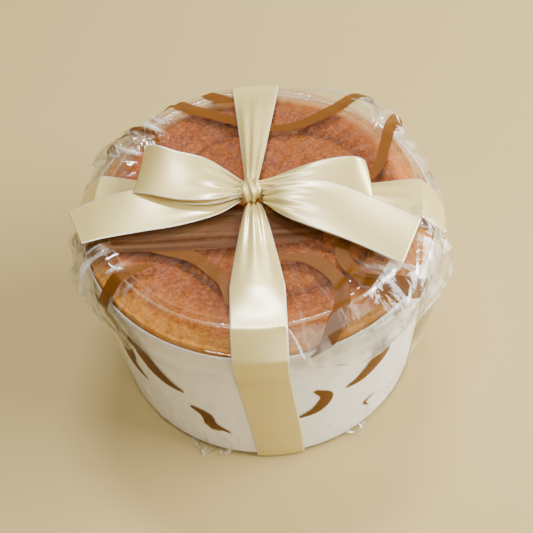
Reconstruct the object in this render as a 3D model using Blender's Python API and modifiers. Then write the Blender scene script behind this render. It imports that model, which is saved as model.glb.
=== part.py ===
"""Chiffon cake in its gift pack: a white tub, the baked cake, a clear lid, a clear film wrap
and a satin ribbon tied crosswise with a bow on top.

Metres, +Z up. The origin is the middle of the ribbon cross that the pack stands on. The pack's
front is -Y, the bow lies along X. Run with: blender --background --python part.py
"""

import math

import bmesh
import bpy
import numpy as np

# Driving dimensions, in metres
RIM_RADIUS = 0.0774        # outer edge of the tub's mouth
BASE_RADIUS = 0.0744       # foot of the tub
BASE_HEIGHT = 0.0019       # underside of the tub above the table, over film and ribbon
RIM_HEIGHT = 0.0900
TUB_WALL = 0.0008
LID_WALL = 0.0006
LID_RADIUS = 0.0788        # ribbed skirt of the lid
SKIRT_BOTTOM = 0.0830
LID_TOP_RADIUS = 0.0697
LID_TOP = 0.1005
LID_BEAD = 0.0040          # width of the raised ring round the lid's flat top
LID_PANEL_DROP = 0.0009
CAKE_TOP = 0.0968
DOME_RISE = 0.0006         # the middle of the crust stands this much over its ring
DOME_RADIUS = 0.0450
CREASE_RADIUS = 0.0490     # shallow crease between the domed middle and the ring
CREASE_WANDER = 0.0015
CREASE_DEPTH = 0.0013
CREASE_WIDTH = 0.0022
SHOULDER_FALL = 0.0040     # the crust's edge lies this far below its ring
SHOULDER_START = 0.0625
SHOULDER_END = 0.0740
CRAG_HEIGHT = 0.00022
FILM_THICKNESS = 0.0003
FILM_BULGE_HEIGHT = 0.0908   # height at which the loose film stands out furthest
SLACK_SIDE = 0.0065        # the wrap and its ribbon hang this far off the tub on the right
RIBBON_WIDTH = 0.0220
RIBBON_THICKNESS = 0.0005
PINCHED_WIDTH = 0.0052     # width of the ribbon where it goes into the knot
PINCH_HEIGHT = 0.1034
GAP = 0.0004               # clear space between neighbouring pieces
KNOT = (-0.0022, -0.0035, 0.1063)
KNOT_HALF_SIZE = (0.0043, 0.0050, 0.0044)
CROSSWISE_TURN = math.radians(-4.5)   # the crosswise ribbon lies a little askew
FRONT_LEAN = 0.0050        # the front ribbon runs this far to the right on its way down
CROSSING_HUMP = 0.0008     # the lengthwise ribbon passes over the crosswise one under the base
STEPS = 60                 # facets round the pack

# Rows of the film, from the hem under the base to the middle of the top
FILM_HEM = ((0.0600, 0.0015), (BASE_RADIUS - 0.0010, 0.0015))
FILM_SIDE = (0.0030, 0.0160, 0.0330, 0.0500, 0.0620, 0.0720, 0.0800, FILM_BULGE_HEIGHT)
FILM_SHOULDER_ROWS = 5
FILM_EDGE = LID_TOP_RADIUS + 0.0006
FILM_TOP = LID_TOP + GAP
FILM_TOP_SHARES = (0.70, 0.35)
FILM_ROWS = len(FILM_HEM) + len(FILM_SIDE) + FILM_SHOULDER_ROWS + len(FILM_TOP_SHARES)

# Loose corners of the film: direction in degrees, how far they stand out, spread in degrees
FILM_CORNERS = ((49.0, 0.0060, 18.0), (150.0, 0.0020, 14.0), (-155.0, 0.0022, 15.0), (-30.0, 0.0020, 15.0))

# Rows of a tied ribbon, as shares of the way from the knot to the lid's edge and across the base
RIBBON_TOP = FILM_TOP + FILM_THICKNESS + GAP
ACROSS = np.linspace(-0.5, 0.5, 5) * RIBBON_WIDTH
TOP_SHARES = (0.0, 0.10, 0.22, 0.38, 0.56, 0.76, 1.0)
UNDER_SHARES = (0.011, 0.06, 0.20, 0.33, 0.39, 0.50, 0.61, 0.67, 0.80, 0.94, 0.989)

# Colours: sRGB values turned into Blender's linear ones
WHITE_TUB = (0.86, 0.84, 0.80)
CRUST = (0.72, 0.45, 0.26)
CLEAR = (0.93, 0.92, 0.88)
CREAM = (0.92, 0.87, 0.74)


def linear(colour):
    """sRGB colour as linear values with full alpha."""
    return tuple(((c + 0.055) / 1.055) ** 2.4 for c in colour) + (1.0,)


def material(name, colour, roughness, alpha=1.0, sheen=0.0):
    """Principled material of one plain finish."""
    made = bpy.data.materials.new(name)
    made.use_nodes = True
    shader = made.node_tree.nodes["Principled BSDF"]
    shader.inputs["Base Color"].default_value = linear(colour)
    shader.inputs["Roughness"].default_value = roughness
    shader.inputs["Metallic"].default_value = 0.0
    shader.inputs["Alpha"].default_value = alpha
    shader.inputs["Sheen Weight"].default_value = sheen
    return made


def smooth(low, high, value):
    """0 below low, 1 above high, an S-curve between."""
    t = np.clip((np.asarray(value, float) - low) / (high - low), 0.0, 1.0)
    return t * t * (3.0 - 2.0 * t)


def add_object(name, vertices, faces, finish):
    """Smooth mesh object in the pack's collection."""
    mesh = bpy.data.meshes.new(name)
    mesh.from_pydata([tuple(v) for v in np.reshape(vertices, (-1, 3))], [], faces)
    mesh.materials.append(finish)
    mesh.shade_smooth()
    made = bpy.data.objects.new(name, mesh)
    pack.objects.link(made)
    return made


def grid_faces(rows, columns, closed):
    """Quads of a grid of points; closed joins the last column to the first."""
    width = columns if closed else columns - 1
    faces = []
    for i in range(rows - 1):
        for j in range(width):
            k = (j + 1) % columns
            faces.append((i * columns + j, i * columns + k, (i + 1) * columns + k, (i + 1) * columns + j))
    return faces


def thicken(made, thickness, offset):
    """Gives an open surface a wall."""
    wall = made.modifiers.new("wall", "SOLIDIFY")
    wall.thickness = thickness
    wall.offset = offset
    wall.use_even_offset = True


def turned(name, profile, finish):
    """Profile of (radius, height) points, run down its outer side, turned about Z."""
    made = add_object(name, [(r, 0.0, z) for r, z in profile], [], finish)
    mesh = made.data
    mesh.edges.add(len(profile) - 1)
    for i, edge in enumerate(mesh.edges):
        edge.vertices = (i, i + 1)
    screw = made.modifiers.new("turn", "SCREW")
    screw.steps = STEPS
    screw.render_steps = STEPS
    screw.use_merge_vertices = True
    screw.merge_threshold = 0.00001
    return made


def tub_radius(height):
    """Outer radius of the tapering tub at a height."""
    share = (height - BASE_HEIGHT) / (RIM_HEIGHT - BASE_HEIGHT)
    return BASE_RADIUS + (RIM_RADIUS - BASE_RADIUS) * share


def make_tub():
    """Open white tub with a rounded rim and a foot chamfer."""
    floor = BASE_HEIGHT + TUB_WALL
    rim = RIM_RADIUS
    return turned("tub", [
        (rim - TUB_WALL, RIM_HEIGHT),
        (rim, RIM_HEIGHT - TUB_WALL * 0.5),
        (tub_radius(0.080), 0.080),
        (tub_radius(0.045), 0.045),
        (BASE_RADIUS + 0.0001, BASE_HEIGHT + 0.0030),
        (BASE_RADIUS - 0.0020, BASE_HEIGHT),
        (0.0, BASE_HEIGHT),
        (0.0, floor),
        (BASE_RADIUS - TUB_WALL - 0.0022, floor),
        (BASE_RADIUS - TUB_WALL, floor + 0.0025),
        (tub_radius(0.045) - TUB_WALL, 0.045),
        (tub_radius(0.080) - TUB_WALL, 0.080),
        (rim - 2.0 * TUB_WALL, RIM_HEIGHT - TUB_WALL),
        (rim - TUB_WALL, RIM_HEIGHT),
    ], materials["tub"])


def make_lid():
    """Clear lid: flat panel in a raised ring, a sloping side and a skirt over the tub's rim."""
    shoulder = RIM_HEIGHT + 0.0016
    panel = LID_TOP - LID_PANEL_DROP
    bead = LID_TOP_RADIUS - LID_BEAD
    foot = LID_RADIUS - LID_WALL
    return turned("lid", [
        (0.0, panel),
        (bead - 0.0008, panel),
        (bead, LID_TOP),
        (LID_TOP_RADIUS - 0.0006, LID_TOP),
        (LID_TOP_RADIUS, LID_TOP - 0.0006),
        (LID_RADIUS - 0.0030, shoulder),
        (LID_RADIUS - 0.0006, shoulder - 0.0002),
        (LID_RADIUS, shoulder - 0.0012),
        (LID_RADIUS, SKIRT_BOTTOM),
        (foot, SKIRT_BOTTOM),
        (foot, RIM_HEIGHT + 0.0006),
        (LID_RADIUS - 0.0034, RIM_HEIGHT + 0.0009),
        (LID_TOP_RADIUS - 0.0006, LID_TOP - 0.0012),
        (bead + 0.0008, LID_TOP - LID_WALL),
        (bead - 0.0002, panel - LID_WALL),
        (0.0, panel - LID_WALL),
    ], materials["lid"])


def crust_height(x, y):
    """Height of the baked top: a ring, a shallow crease inside it, a domed middle and small crags."""
    r = np.hypot(x, y)
    angle = np.arctan2(y, x)
    crease = CREASE_RADIUS + CREASE_WANDER * np.sin(3.0 * angle + 0.7)
    height = CAKE_TOP + DOME_RISE * (1.0 - smooth(0.0, DOME_RADIUS, r))
    height = height - CREASE_DEPTH * np.exp(-((r - crease) / CREASE_WIDTH) ** 2)
    height = height - SHOULDER_FALL * smooth(SHOULDER_START, SHOULDER_END, r)
    crags = np.sin(310.0 * x + 1.3) * np.sin(270.0 * y + 0.4) + 0.6 * np.sin(520.0 * (x + y) + 2.0)
    return height + CRAG_HEIGHT * crags


def make_cake():
    """Baked cake that fills the tub and rises above its rim, one solid."""
    inset = TUB_WALL + GAP
    foot = BASE_HEIGHT + TUB_WALL + GAP
    side = [
        (BASE_RADIUS - inset - 0.0026, foot),
        (BASE_RADIUS - inset - 0.0002, foot + 0.0030),
        (tub_radius(0.045) - inset, 0.045),
        (RIM_RADIUS - inset - 0.0010, 0.0835),
        (RIM_RADIUS - inset - 0.0012, 0.0885),
        (RIM_RADIUS - inset - 0.0018, 0.0914),
    ]
    top_radii = (0.0725, 0.0680, 0.0610, 0.0530, 0.0490, 0.0450, 0.0360, 0.0240, 0.0120)
    angles = np.linspace(0.0, math.tau, STEPS, endpoint=False)
    ring = np.stack([np.cos(angles), np.sin(angles)], -1)
    rings = [np.column_stack([ring * r, np.full(STEPS, z)]) for r, z in side]
    for r in top_radii:
        x, y = (ring * r).T
        rings.append(np.column_stack([x, y, crust_height(x, y)]))
    count = len(rings)
    ends = [(0.0, 0.0, foot), (0.0, 0.0, float(crust_height(0.0, 0.0)))]
    vertices = np.vstack(rings + [ends])
    faces = grid_faces(count, STEPS, True)
    low, high = count * STEPS, count * STEPS + 1
    for j in range(STEPS):
        k = (j + 1) % STEPS
        faces.append((low, k, j))
        faces.append((high, (count - 1) * STEPS + j, (count - 1) * STEPS + k))
    return add_object("cake", vertices, faces, materials["cake"])


def swell(angle, middle, spread):
    """1 at a middle direction round the pack, in degrees, dying away to both sides of it."""
    turn = np.degrees(np.angle(np.exp(1j * (np.asarray(angle) - math.radians(middle)))))
    return np.exp(-((turn / spread) ** 2))


def film_ears(angle):
    """How far the loose film stands out at an angle round the pack: folded corners of the wrap."""
    reach = np.full(np.shape(angle), 0.0002)
    for middle, size, spread in FILM_CORNERS:
        reach = reach + size * swell(angle, middle, spread)
    return reach


def film_surface(angle, row):
    """Inner face of the wrap as (radius, height) arrays: row 0 is the hem under the base, then come
    the side, the bulging shoulder and the flat top, to the last row just short of the middle."""
    angle = np.asarray(angle, float)
    if row < len(FILM_HEM):
        radius, height = FILM_HEM[row]
        return np.full(angle.shape, radius), np.full(angle.shape, height)
    row -= len(FILM_HEM)
    if row < len(FILM_SIDE):
        height = FILM_SIDE[row]
        loose = film_ears(angle) * smooth(0.045, FILM_BULGE_HEIGHT, height)
        slack = SLACK_SIDE * swell(angle, -9.0, 24.0) * smooth(0.002, 0.040, height)
        over_skirt = (LID_RADIUS - tub_radius(SKIRT_BOTTOM)) * smooth(0.066, 0.081, height)
        slack = slack * (1.0 - 0.85 * smooth(0.060, FILM_BULGE_HEIGHT, height))
        close = tub_radius(min(height, SKIRT_BOTTOM)) + GAP + over_skirt
        return close + loose + slack, np.full(angle.shape, height)
    row -= len(FILM_SIDE)
    if row < FILM_SHOULDER_ROWS:
        # A straight fall from the lid's edge, rounder where the film stands out in a corner
        turn = (row + 1) / FILM_SHOULDER_ROWS * math.pi / 2.0
        widest = film_surface(angle, len(FILM_HEM) + len(FILM_SIDE) - 1)[0]
        fall = 1.0 - math.sin(turn) ** 2
        round_share = np.clip(0.12 + film_ears(angle) / 0.0060, 0.0, 1.0)
        out = fall + (math.cos(turn) - fall) * round_share
        up = math.sin(turn) ** 2 + (math.sin(turn) - math.sin(turn) ** 2) * round_share
        radius = FILM_EDGE + (widest - FILM_EDGE) * out
        height = FILM_BULGE_HEIGHT + (FILM_TOP - FILM_BULGE_HEIGHT) * up
        return radius, height
    row -= FILM_SHOULDER_ROWS
    return np.full(angle.shape, FILM_EDGE * FILM_TOP_SHARES[row]), np.full(angle.shape, FILM_TOP)


def make_film():
    """Thin clear wrap over lid and tub, tucked under the base, with loose folded corners."""
    angles = np.linspace(0.0, math.tau, STEPS, endpoint=False)
    rings = []
    for row in range(FILM_ROWS):
        radius, height = film_surface(angles, row)
        rings.append(np.column_stack([radius * np.cos(angles), radius * np.sin(angles), height]))
    vertices = np.vstack(rings + [[(0.0, 0.0, FILM_TOP)]])
    faces = grid_faces(FILM_ROWS, STEPS, True)
    middle = FILM_ROWS * STEPS
    for j in range(STEPS):
        faces.append((middle, (FILM_ROWS - 1) * STEPS + j, (FILM_ROWS - 1) * STEPS + (j + 1) % STEPS))
    made = add_object("film_wrap", vertices, faces, materials["film"])
    thicken(made, FILM_THICKNESS, 1.0)
    return made


def strip(name, rows, offset):
    """Ribbon from a grid of points, rows along it and columns across it."""
    rows = np.asarray(rows, float)
    made = add_object(name, rows, grid_faces(rows.shape[0], rows.shape[1], False), materials[name])
    thicken(made, RIBBON_THICKNESS, offset)
    return made


def band_side(angle, across, base_shift):
    """Rows of a tied ribbon from the lid's edge down the pack's side, on the film's outer face."""
    rows = []
    stand_off = FILM_THICKNESS + GAP
    for row in range(FILM_ROWS - len(FILM_TOP_SHARES) - 1, len(FILM_HEM) - 1, -1):
        middle_radius, height = film_surface(np.array(angle), row)
        slide = base_shift * (1.0 - smooth(0.0, FILM_BULGE_HEIGHT, height))
        turn = angle + (across + slide) / float(middle_radius)
        radius, height = film_surface(turn, row)
        lift = stand_off * smooth(FILM_BULGE_HEIGHT, FILM_TOP, height)
        reach = radius + stand_off
        rows.append(np.column_stack([reach * np.cos(turn), reach * np.sin(turn), height + lift]))
    return rows


def band_top(angle, across, start, taper):
    """Rows from beside the knot, where the ribbon is pinched, out to the lid's edge.

    taper is the share of the way at which the ribbon has its full width, and the curve's power.
    """
    rows = []
    along = np.array([math.cos(angle), math.sin(angle)])
    side = np.array([-along[1], along[0]])
    end = (LID_TOP_RADIUS - 0.0040) * along
    for share in TOP_SHARES:
        middle = (1.0 - share) * np.array(start[:2]) + share * end
        narrow = PINCHED_WIDTH / RIBBON_WIDTH
        width = narrow + (1.0 - narrow) * min(1.0, share / taper[0]) ** taper[1]
        lift = (start[2] - RIBBON_TOP) * (1.0 - smooth(0.0, 0.40, share))
        flat = middle + np.outer(across * width, side)
        rows.append(np.column_stack([flat, np.full(len(across), RIBBON_TOP + lift)]))
    return rows


def make_band(name, start_angle, end_angle, starts, tapers, shift, hump):
    """Ribbon tied round the pack: knot, top, side, under the base, far side, top, knot.

    shift moves its first side along the tub's foot. hump lifts the middle of the run under the
    base, where it crosses over the other ribbon.
    """
    first = band_top(start_angle, ACROSS, starts[0], tapers[0]) + band_side(start_angle, ACROSS, shift)
    last = band_top(end_angle, -ACROSS, starts[1], tapers[1]) + band_side(end_angle, -ACROSS, 0.0)
    corner, far_corner = first[-1], last[-1]
    under = []
    for share in UNDER_SHARES:
        row = (1.0 - share) * corner + share * far_corner
        row[:, 2] = RIBBON_THICKNESS + hump * (1.0 - smooth(0.105, 0.17, abs(share - 0.5)))
        under.append(row)
    return strip(name, first + under + last[::-1], -1.0)


def through(points, count):
    """Smooth curve through control points (Catmull-Rom), any number of values a point."""
    points = np.asarray(points, float)
    padded = np.vstack([2 * points[0] - points[1], points, 2 * points[-1] - points[-2]])
    where = np.linspace(0.0, len(points) - 1.0, count)
    index = np.minimum(where.astype(int), len(points) - 2)
    t = (where - index)[:, None]
    a, b, c, d = (padded[index + k] for k in range(4))
    return 0.5 * (2 * b + (c - a) * t + (2 * a - 5 * b + 4 * c - d) * t**2 + (3 * b - a - 3 * c + d) * t**3)


def free_ribbon(name, controls, count):
    """Free ribbon from controls of (middle x, y, z, direction across x, y, z, width), in millimetres."""
    values = through(controls, count)
    middle = values[:, 0:3] / 1000.0
    across = values[:, 3:6] / np.linalg.norm(values[:, 3:6], axis=1)[:, None]
    half = values[:, 6] / 2000.0
    columns = np.linspace(-1.0, 1.0, 4)
    rows = middle[:, None, :] + columns[None, :, None] * (across * half[:, None])[:, None, :]
    return strip(name, rows, 0.0)


def make_knot():
    """Rounded knot, squarer than a ball, with the ribbon's crease round it."""
    made = bmesh.new()
    bmesh.ops.create_uvsphere(made, u_segments=16, v_segments=10, radius=1.0)
    for vertex in made.verts:
        x, y, z = vertex.co
        square = (abs(x) ** 3 + abs(y) ** 3 + abs(z) ** 3) ** (-1.0 / 3.0)
        crease = 1.0 - 0.10 * math.exp(-((x - 0.45 * z) / 0.22) ** 2)
        scale = square * crease
        vertex.co = [KNOT[i] + KNOT_HALF_SIZE[i] * scale * c for i, c in enumerate((x, y, z))]
    mesh = bpy.data.meshes.new("bow_knot")
    made.to_mesh(mesh)
    made.free()
    mesh.materials.append(materials["bow_knot"])
    mesh.shade_smooth()
    pack.objects.link(bpy.data.objects.new("bow_knot", mesh))


# Bow: middle x, y, z, direction across x, y, z, width, in millimetres
LEFT_LOOP = (
    (-7.4, -3.6, 109.2, 0.0, 0.99, 0.10, 7.0),
    (-19.0, -1.6, 112.2, -0.10, 0.93, 0.33, 18.5),
    (-32.5, 0.2, 113.8, -0.10, 0.90, 0.43, 22.0),
    (-44.0, 4.2, 113.9, 0.14, 0.88, 0.45, 22.0),
    (-50.0, 7.2, 110.8, 0.24, 0.90, 0.36, 22.0),
    (-44.5, 5.4, 107.8, 0.12, 0.96, 0.22, 22.0),
    (-32.0, 2.0, 107.2, 0.0, 0.98, 0.17, 21.5),
    (-19.0, -1.2, 106.9, 0.0, 0.98, 0.15, 17.0),
    (-7.4, -3.4, 106.6, 0.0, 1.0, 0.05, 6.5),
)
RIGHT_LOOP = (
    (3.0, -1.6, 108.2, 0.0, 0.99, 0.15, 5.0),
    (18.5, -5.0, 109.9, 0.05, 0.92, 0.38, 16.5),
    (31.0, -5.2, 110.6, 0.0, 0.91, 0.41, 21.5),
    (42.5, -4.4, 110.0, -0.05, 0.90, 0.42, 22.0),
    (47.6, -4.2, 107.4, -0.08, 0.95, 0.28, 21.5),
    (42.5, -3.0, 104.9, -0.05, 0.99, 0.11, 22.0),
    (31.0, -3.6, 104.2, 0.0, 1.0, 0.05, 21.0),
    (18.5, -3.6, 104.2, 0.0, 1.0, 0.03, 15.0),
    (3.0, -2.4, 104.9, 0.0, 1.0, 0.0, 6.0),
)
LEFT_TAIL = (
    (-7.6, -5.2, 104.3, -0.30, 0.95, 0.0, 6.0),
    (-18.0, -7.5, 104.5, -0.10, 0.99, 0.03, 15.0),
    (-34.0, -9.5, 104.5, -0.15, 0.98, 0.03, 21.0),
    (-55.0, -12.0, 104.5, -0.16, 0.98, 0.03, 22.0),
    (-68.0, -14.5, 104.2, -0.20, 0.97, 0.02, 22.0),
    (-76.6, -16.8, 102.7, -0.40, 0.91, -0.08, 21.5),
)
RIGHT_TAIL = (
    (3.4, -8.6, 107.2, 0.0, 0.77, 0.64, 5.5),
    (12.0, -11.6, 109.4, 0.15, 0.91, 0.39, 15.0),
    (25.0, -15.3, 109.6, 0.38, 0.86, 0.34, 21.0),
    (42.0, -23.0, 107.9, 0.42, 0.87, 0.26, 22.0),
    (62.0, -34.3, 105.5, 0.43, 0.88, 0.22, 22.0),
)


def make_ribbons():
    """Two tied bands, the knot, two loops and two tails."""
    reach_y = KNOT_HALF_SIZE[1] + GAP
    reach_x = KNOT_HALF_SIZE[0] + GAP
    front = (KNOT[0] + 0.0010, KNOT[1] - reach_y, PINCH_HEIGHT)
    back = (KNOT[0], KNOT[1] + reach_y, PINCH_HEIGHT)
    right = (KNOT[0] + reach_x, KNOT[1], RIBBON_TOP + 0.0002)
    left = (KNOT[0] - reach_x, KNOT[1], RIBBON_TOP + 0.0002)
    quarter = math.pi / 2.0
    quick, even = (0.72, 0.7), (1.0, 1.1)
    make_band("ribbon_lengthwise", -quarter, quarter, (front, back), (quick, even), FRONT_LEAN, CROSSING_HUMP)
    right_angle = CROSSWISE_TURN - math.radians(1.5)
    left_angle = CROSSWISE_TURN + math.pi + math.radians(2.0)
    make_band("ribbon_crosswise", right_angle, left_angle, (right, left), (even, even), 0.0, 0.0)
    make_knot()
    free_ribbon("bow_loop_left", LEFT_LOOP, 29)
    free_ribbon("bow_loop_right", RIGHT_LOOP, 29)
    free_ribbon("bow_tail_left", LEFT_TAIL, 20)
    free_ribbon("bow_tail_right", RIGHT_TAIL, 18)


for old in list(bpy.data.objects):
    bpy.data.objects.remove(old, do_unlink=True)
pack = bpy.data.collections.new("chiffon cake in gift pack")
bpy.context.scene.collection.children.link(pack)
RIBBON_PIECES = ("ribbon_lengthwise", "ribbon_crosswise", "bow_knot", "bow_loop_left", "bow_loop_right",
                 "bow_tail_left", "bow_tail_right")
materials = {
    "tub": material("white tub", WHITE_TUB, 0.45),
    "cake": material("baked crust", CRUST, 0.75),
    "lid": material("clear lid", CLEAR, 0.08, alpha=0.25),
    "film": material("clear film", CLEAR, 0.12, alpha=0.20),
}
for piece in RIBBON_PIECES:
    materials[piece] = material(piece + " satin", CREAM, 0.35, sheen=0.3)
make_tub()
make_cake()
make_lid()
make_film()
make_ribbons()
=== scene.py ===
"""Looks of the chiffon cake in its gift pack: porous baked crust, white tub, clear lid, crinkled
film with brown brush swirls, satin ribbons and bow.

Lengths here are millimetres until a mesh is made. The film is worked out in a chart of its own: an
angle round the pack and a distance q that runs from the middle of the top, over the lid's edge and
down the side. Ribbons, strokes and flaps are laid in the same chart.
"""

import math

import bpy
import numpy as np
from mathutils import Matrix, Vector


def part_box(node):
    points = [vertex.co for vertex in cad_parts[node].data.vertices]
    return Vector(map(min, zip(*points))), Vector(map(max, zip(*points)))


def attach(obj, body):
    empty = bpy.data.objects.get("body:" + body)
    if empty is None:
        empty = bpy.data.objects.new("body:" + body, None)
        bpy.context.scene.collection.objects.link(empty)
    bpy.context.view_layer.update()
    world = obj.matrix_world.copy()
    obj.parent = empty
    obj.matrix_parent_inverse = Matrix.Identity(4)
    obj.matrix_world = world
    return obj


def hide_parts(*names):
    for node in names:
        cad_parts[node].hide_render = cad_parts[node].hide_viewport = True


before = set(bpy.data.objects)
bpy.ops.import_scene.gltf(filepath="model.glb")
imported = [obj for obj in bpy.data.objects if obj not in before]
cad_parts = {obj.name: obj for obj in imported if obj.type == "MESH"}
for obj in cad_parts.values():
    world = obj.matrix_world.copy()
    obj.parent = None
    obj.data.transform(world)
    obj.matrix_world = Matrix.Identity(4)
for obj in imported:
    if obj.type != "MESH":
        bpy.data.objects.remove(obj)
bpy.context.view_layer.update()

MM = 0.001

# Sizes read from the part's nodes
LID_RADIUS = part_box("lid")[1][0] / MM
LID_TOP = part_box("lid")[1][2] / MM
SKIRT_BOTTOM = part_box("lid")[0][2] / MM
TUB_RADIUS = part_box("tub")[1][0] / MM
RIM_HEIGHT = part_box("tub")[1][2] / MM
TUB_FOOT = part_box("tub")[0][2] / MM
CAKE_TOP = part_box("cake")[1][2] / MM - 0.8   # the crags stand as far above this height

# Cake
CAKE_STEPS = 460
CAKE_RINGS = 168
CAKE_GAP = 1.1             # between the cake and the tub's outer face
CAKE_FOOT = 4.0
CAKE_SIDE = (CAKE_FOOT, 12.0, 30.0, 55.0, 75.0, 84.0, 88.6)
CREASE_RADIUS = 48.0
CREASE_MIDDLE = (6.0, -3.0)
CREASE_DEPTH = 1.6
CRUST_DOME = 0.6           # rise of the crust's middle
DOME_RADIUS = 45.0
SHOULDER_START = 62.5      # radius from which the crust falls
SHOULDER_FOOT = 74.0
SHOULDER_FALL = 4.0
BACK_FALL = 2.8            # the crust falls this much more at the back
BACK_START = 2.5           # and starts this much sooner
RED_RING = (49.0, 53.0)      # radii over which the crust turns red-brown, then golden
GOLD_RING = (56.0, 66.0)
SPONGE_RING = (68.5, 72.5)   # and where the pale sponge of the side begins
CRAG_SIZES = ((9.0, 0.30), (5.2, 0.20), (2.9, 0.12), (1.7, 0.07))   # wave length, height

# Tub
FOOT_RADIUS = 74.4
TUB_CORNER = 2.0
TUB_WALL = 0.8
TUB_LIP = 0.4
TUB_HEIGHTS = (12.0, 30.0, 50.0, 70.0, 80.0)

# Lid
LID_EDGE = 69.7            # outer radius of the raised bead
BEAD_WIDTH = 4.0
PANEL_DROP = 0.9
PANEL_RINGS = (20.0, 45.0, 60.0)
BEAD_BEND = 1.0            # radius of the bead's outer edge
LEDGE_RISE = 1.6           # ledge over the tub's rim
LEDGE_WIDTH = 3.4
SKIRT_BEND = 0.9
RIB_COUNT = 216
RIB_DEPTH = 0.16

# Wrap
BULGE = 90.8               # height at which the film stands out furthest
FILM_TOP = LID_TOP + 0.25
FILM_EDGE = LID_EDGE + 0.5
FILM_GAP = 0.3             # between the film and the tub
SHOULDER_LENGTH = 13.0     # length of the film between the lid's edge and the bulge
HEM = 2.0                  # height at which the side ends
FILM_FLOOR = 1.2           # height of the film under the base
HEM_SHARE = 0.84           # radius of the hem's end as a share of the side's
TOP_END = FILM_EDGE
SIDE_START = TOP_END + SHOULDER_LENGTH
SIDE_END = SIDE_START + BULGE - HEM
SLACK = 6.5                # the wrap hangs this far off the tub on the right
SLACK_PLACE = (-9.0, 24.0)   # middle and spread, degrees
CORNER_LEAST = 0.2
LARGEST_CORNER = 6.0
CHART_RADIUS = 76.0        # radius at which a path's degrees count as millimetres
ARC = 1.33                 # millimetres round the rim for each degree
TALLEST_FOLD = 2.0         # folds are flattened above this height
FLATTENING = 0.4
LINE_LIFT = 0.22
FACET_LIFT = 0.30
STROKE_LIFT = 0.12

# Ribbon and bow
RIBBON_WIDTH = 22.0
SATIN = 0.3                # thickness of the ribbon
PINCHED_WIDTH = 5.2        # width of a band beside the knot
RIBBON_LIFT = 0.45         # middle of a band over the film
BAND_ARCH = 1.5            # rise of a band's middle line over its edges
BAND_FOLD = 0.7            # depth of a band's folds at the knot
UNDER_HEIGHT = 0.35        # middle of a band under the base
UNDER_CROSSING = 0.8       # rise of the lengthwise band where it crosses the other
CROSSWISE = math.radians(-4.5)
CROSSWISE_TURNS = (math.radians(-1.5), math.radians(2.0))
FRONT_LEAN = 5.0           # slide of the front band along the foot
KNOT = np.array([-2.2, -3.5, 106.3])
KNOT_HALVES = (4.3, 5.0, 4.4)
KNOT_TIP = 4.0

# Pinched ends of the tied bands, front, back, right and left: x and y from the knot, z over the film
BAND_ENDS = ((1.0, -5.0, 2.6), (0.0, 5.0, 2.6), (4.4, 0.0, 0.7), (-4.4, 0.0, 0.7))

# How a band widens from its pinched end: share of the way to its full width, power of the curve
QUICK = (0.72, 0.7)
EVEN = (1.0, 1.1)

# Colours, sRGB
CRUST_DARK = (88, 38, 4)
CRUST_PALE = (198, 118, 34)
CRUST_MIDDLE = (156, 82, 4)
CRUST_RED = (140, 62, 2)
CRUST_GOLD = (178, 98, 14)
SPONGE = (192, 128, 26)
TUB_WHITE = (250, 248, 242)
LID_CLEAR = (250, 249, 247)
LID_HAZE_AND_PAINTED_LIGHT = (226, 196, 148)
FILM_CLEAR = (253, 253, 252)
FILM_SHADE = (120, 106, 88)
FILM_LIGHT = (244, 240, 234)
SEAL_PAINTED_SHADE_DARK = (84, 50, 24)
SEAL_PAINTED_SHADE_PALE = (116, 86, 60)
SEAL_TINT = (222, 206, 190)
BRUSH_BROWN = (100, 61, 18)
BRUSH_DARK = (82, 49, 12)
BRUSH_TINT = (224, 190, 150)
SATIN_CREAM = (229, 211, 132)
SATIN_SHADE = (219, 199, 122)
SATIN_GRAIN = (206, 187, 122)
SATIN_EDGE = (250, 246, 230)
SATIN_GLOW = (246, 226, 160)
FLOOR_BEIGE = (163, 143, 90)
ROOM_GLOW = (238, 226, 204)

# Loose corners of the wrap: middle in degrees, how far they stand out, spread in degrees
CORNERS = ((49.0, LARGEST_CORNER, 18.0), (150.0, 2.0, 14.0), (-155.0, 2.2, 15.0), (-30.0, 2.0, 15.0))

# Directions of the tied bands, in degrees, which press the film flat
BANDS = (-88.0, 90.0, -6.0, 177.5)

# Where the film is slack: how much, middle and spread in degrees, q where it starts and ends
LOOSE_PLACES = (
    (0.5, -34.0, 34.0, (54.0, 66.0), (125.0, 95.0)),
    (1.0, -166.0, 24.0, (60.0, 72.0), (130.0, 100.0)),
    (1.0, 148.0, 20.0, (56.0, 64.0), (110.0, 90.0)),
    (1.0, 26.0, 14.0, (68.0, 74.0), (120.0, 95.0)),
)

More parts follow.
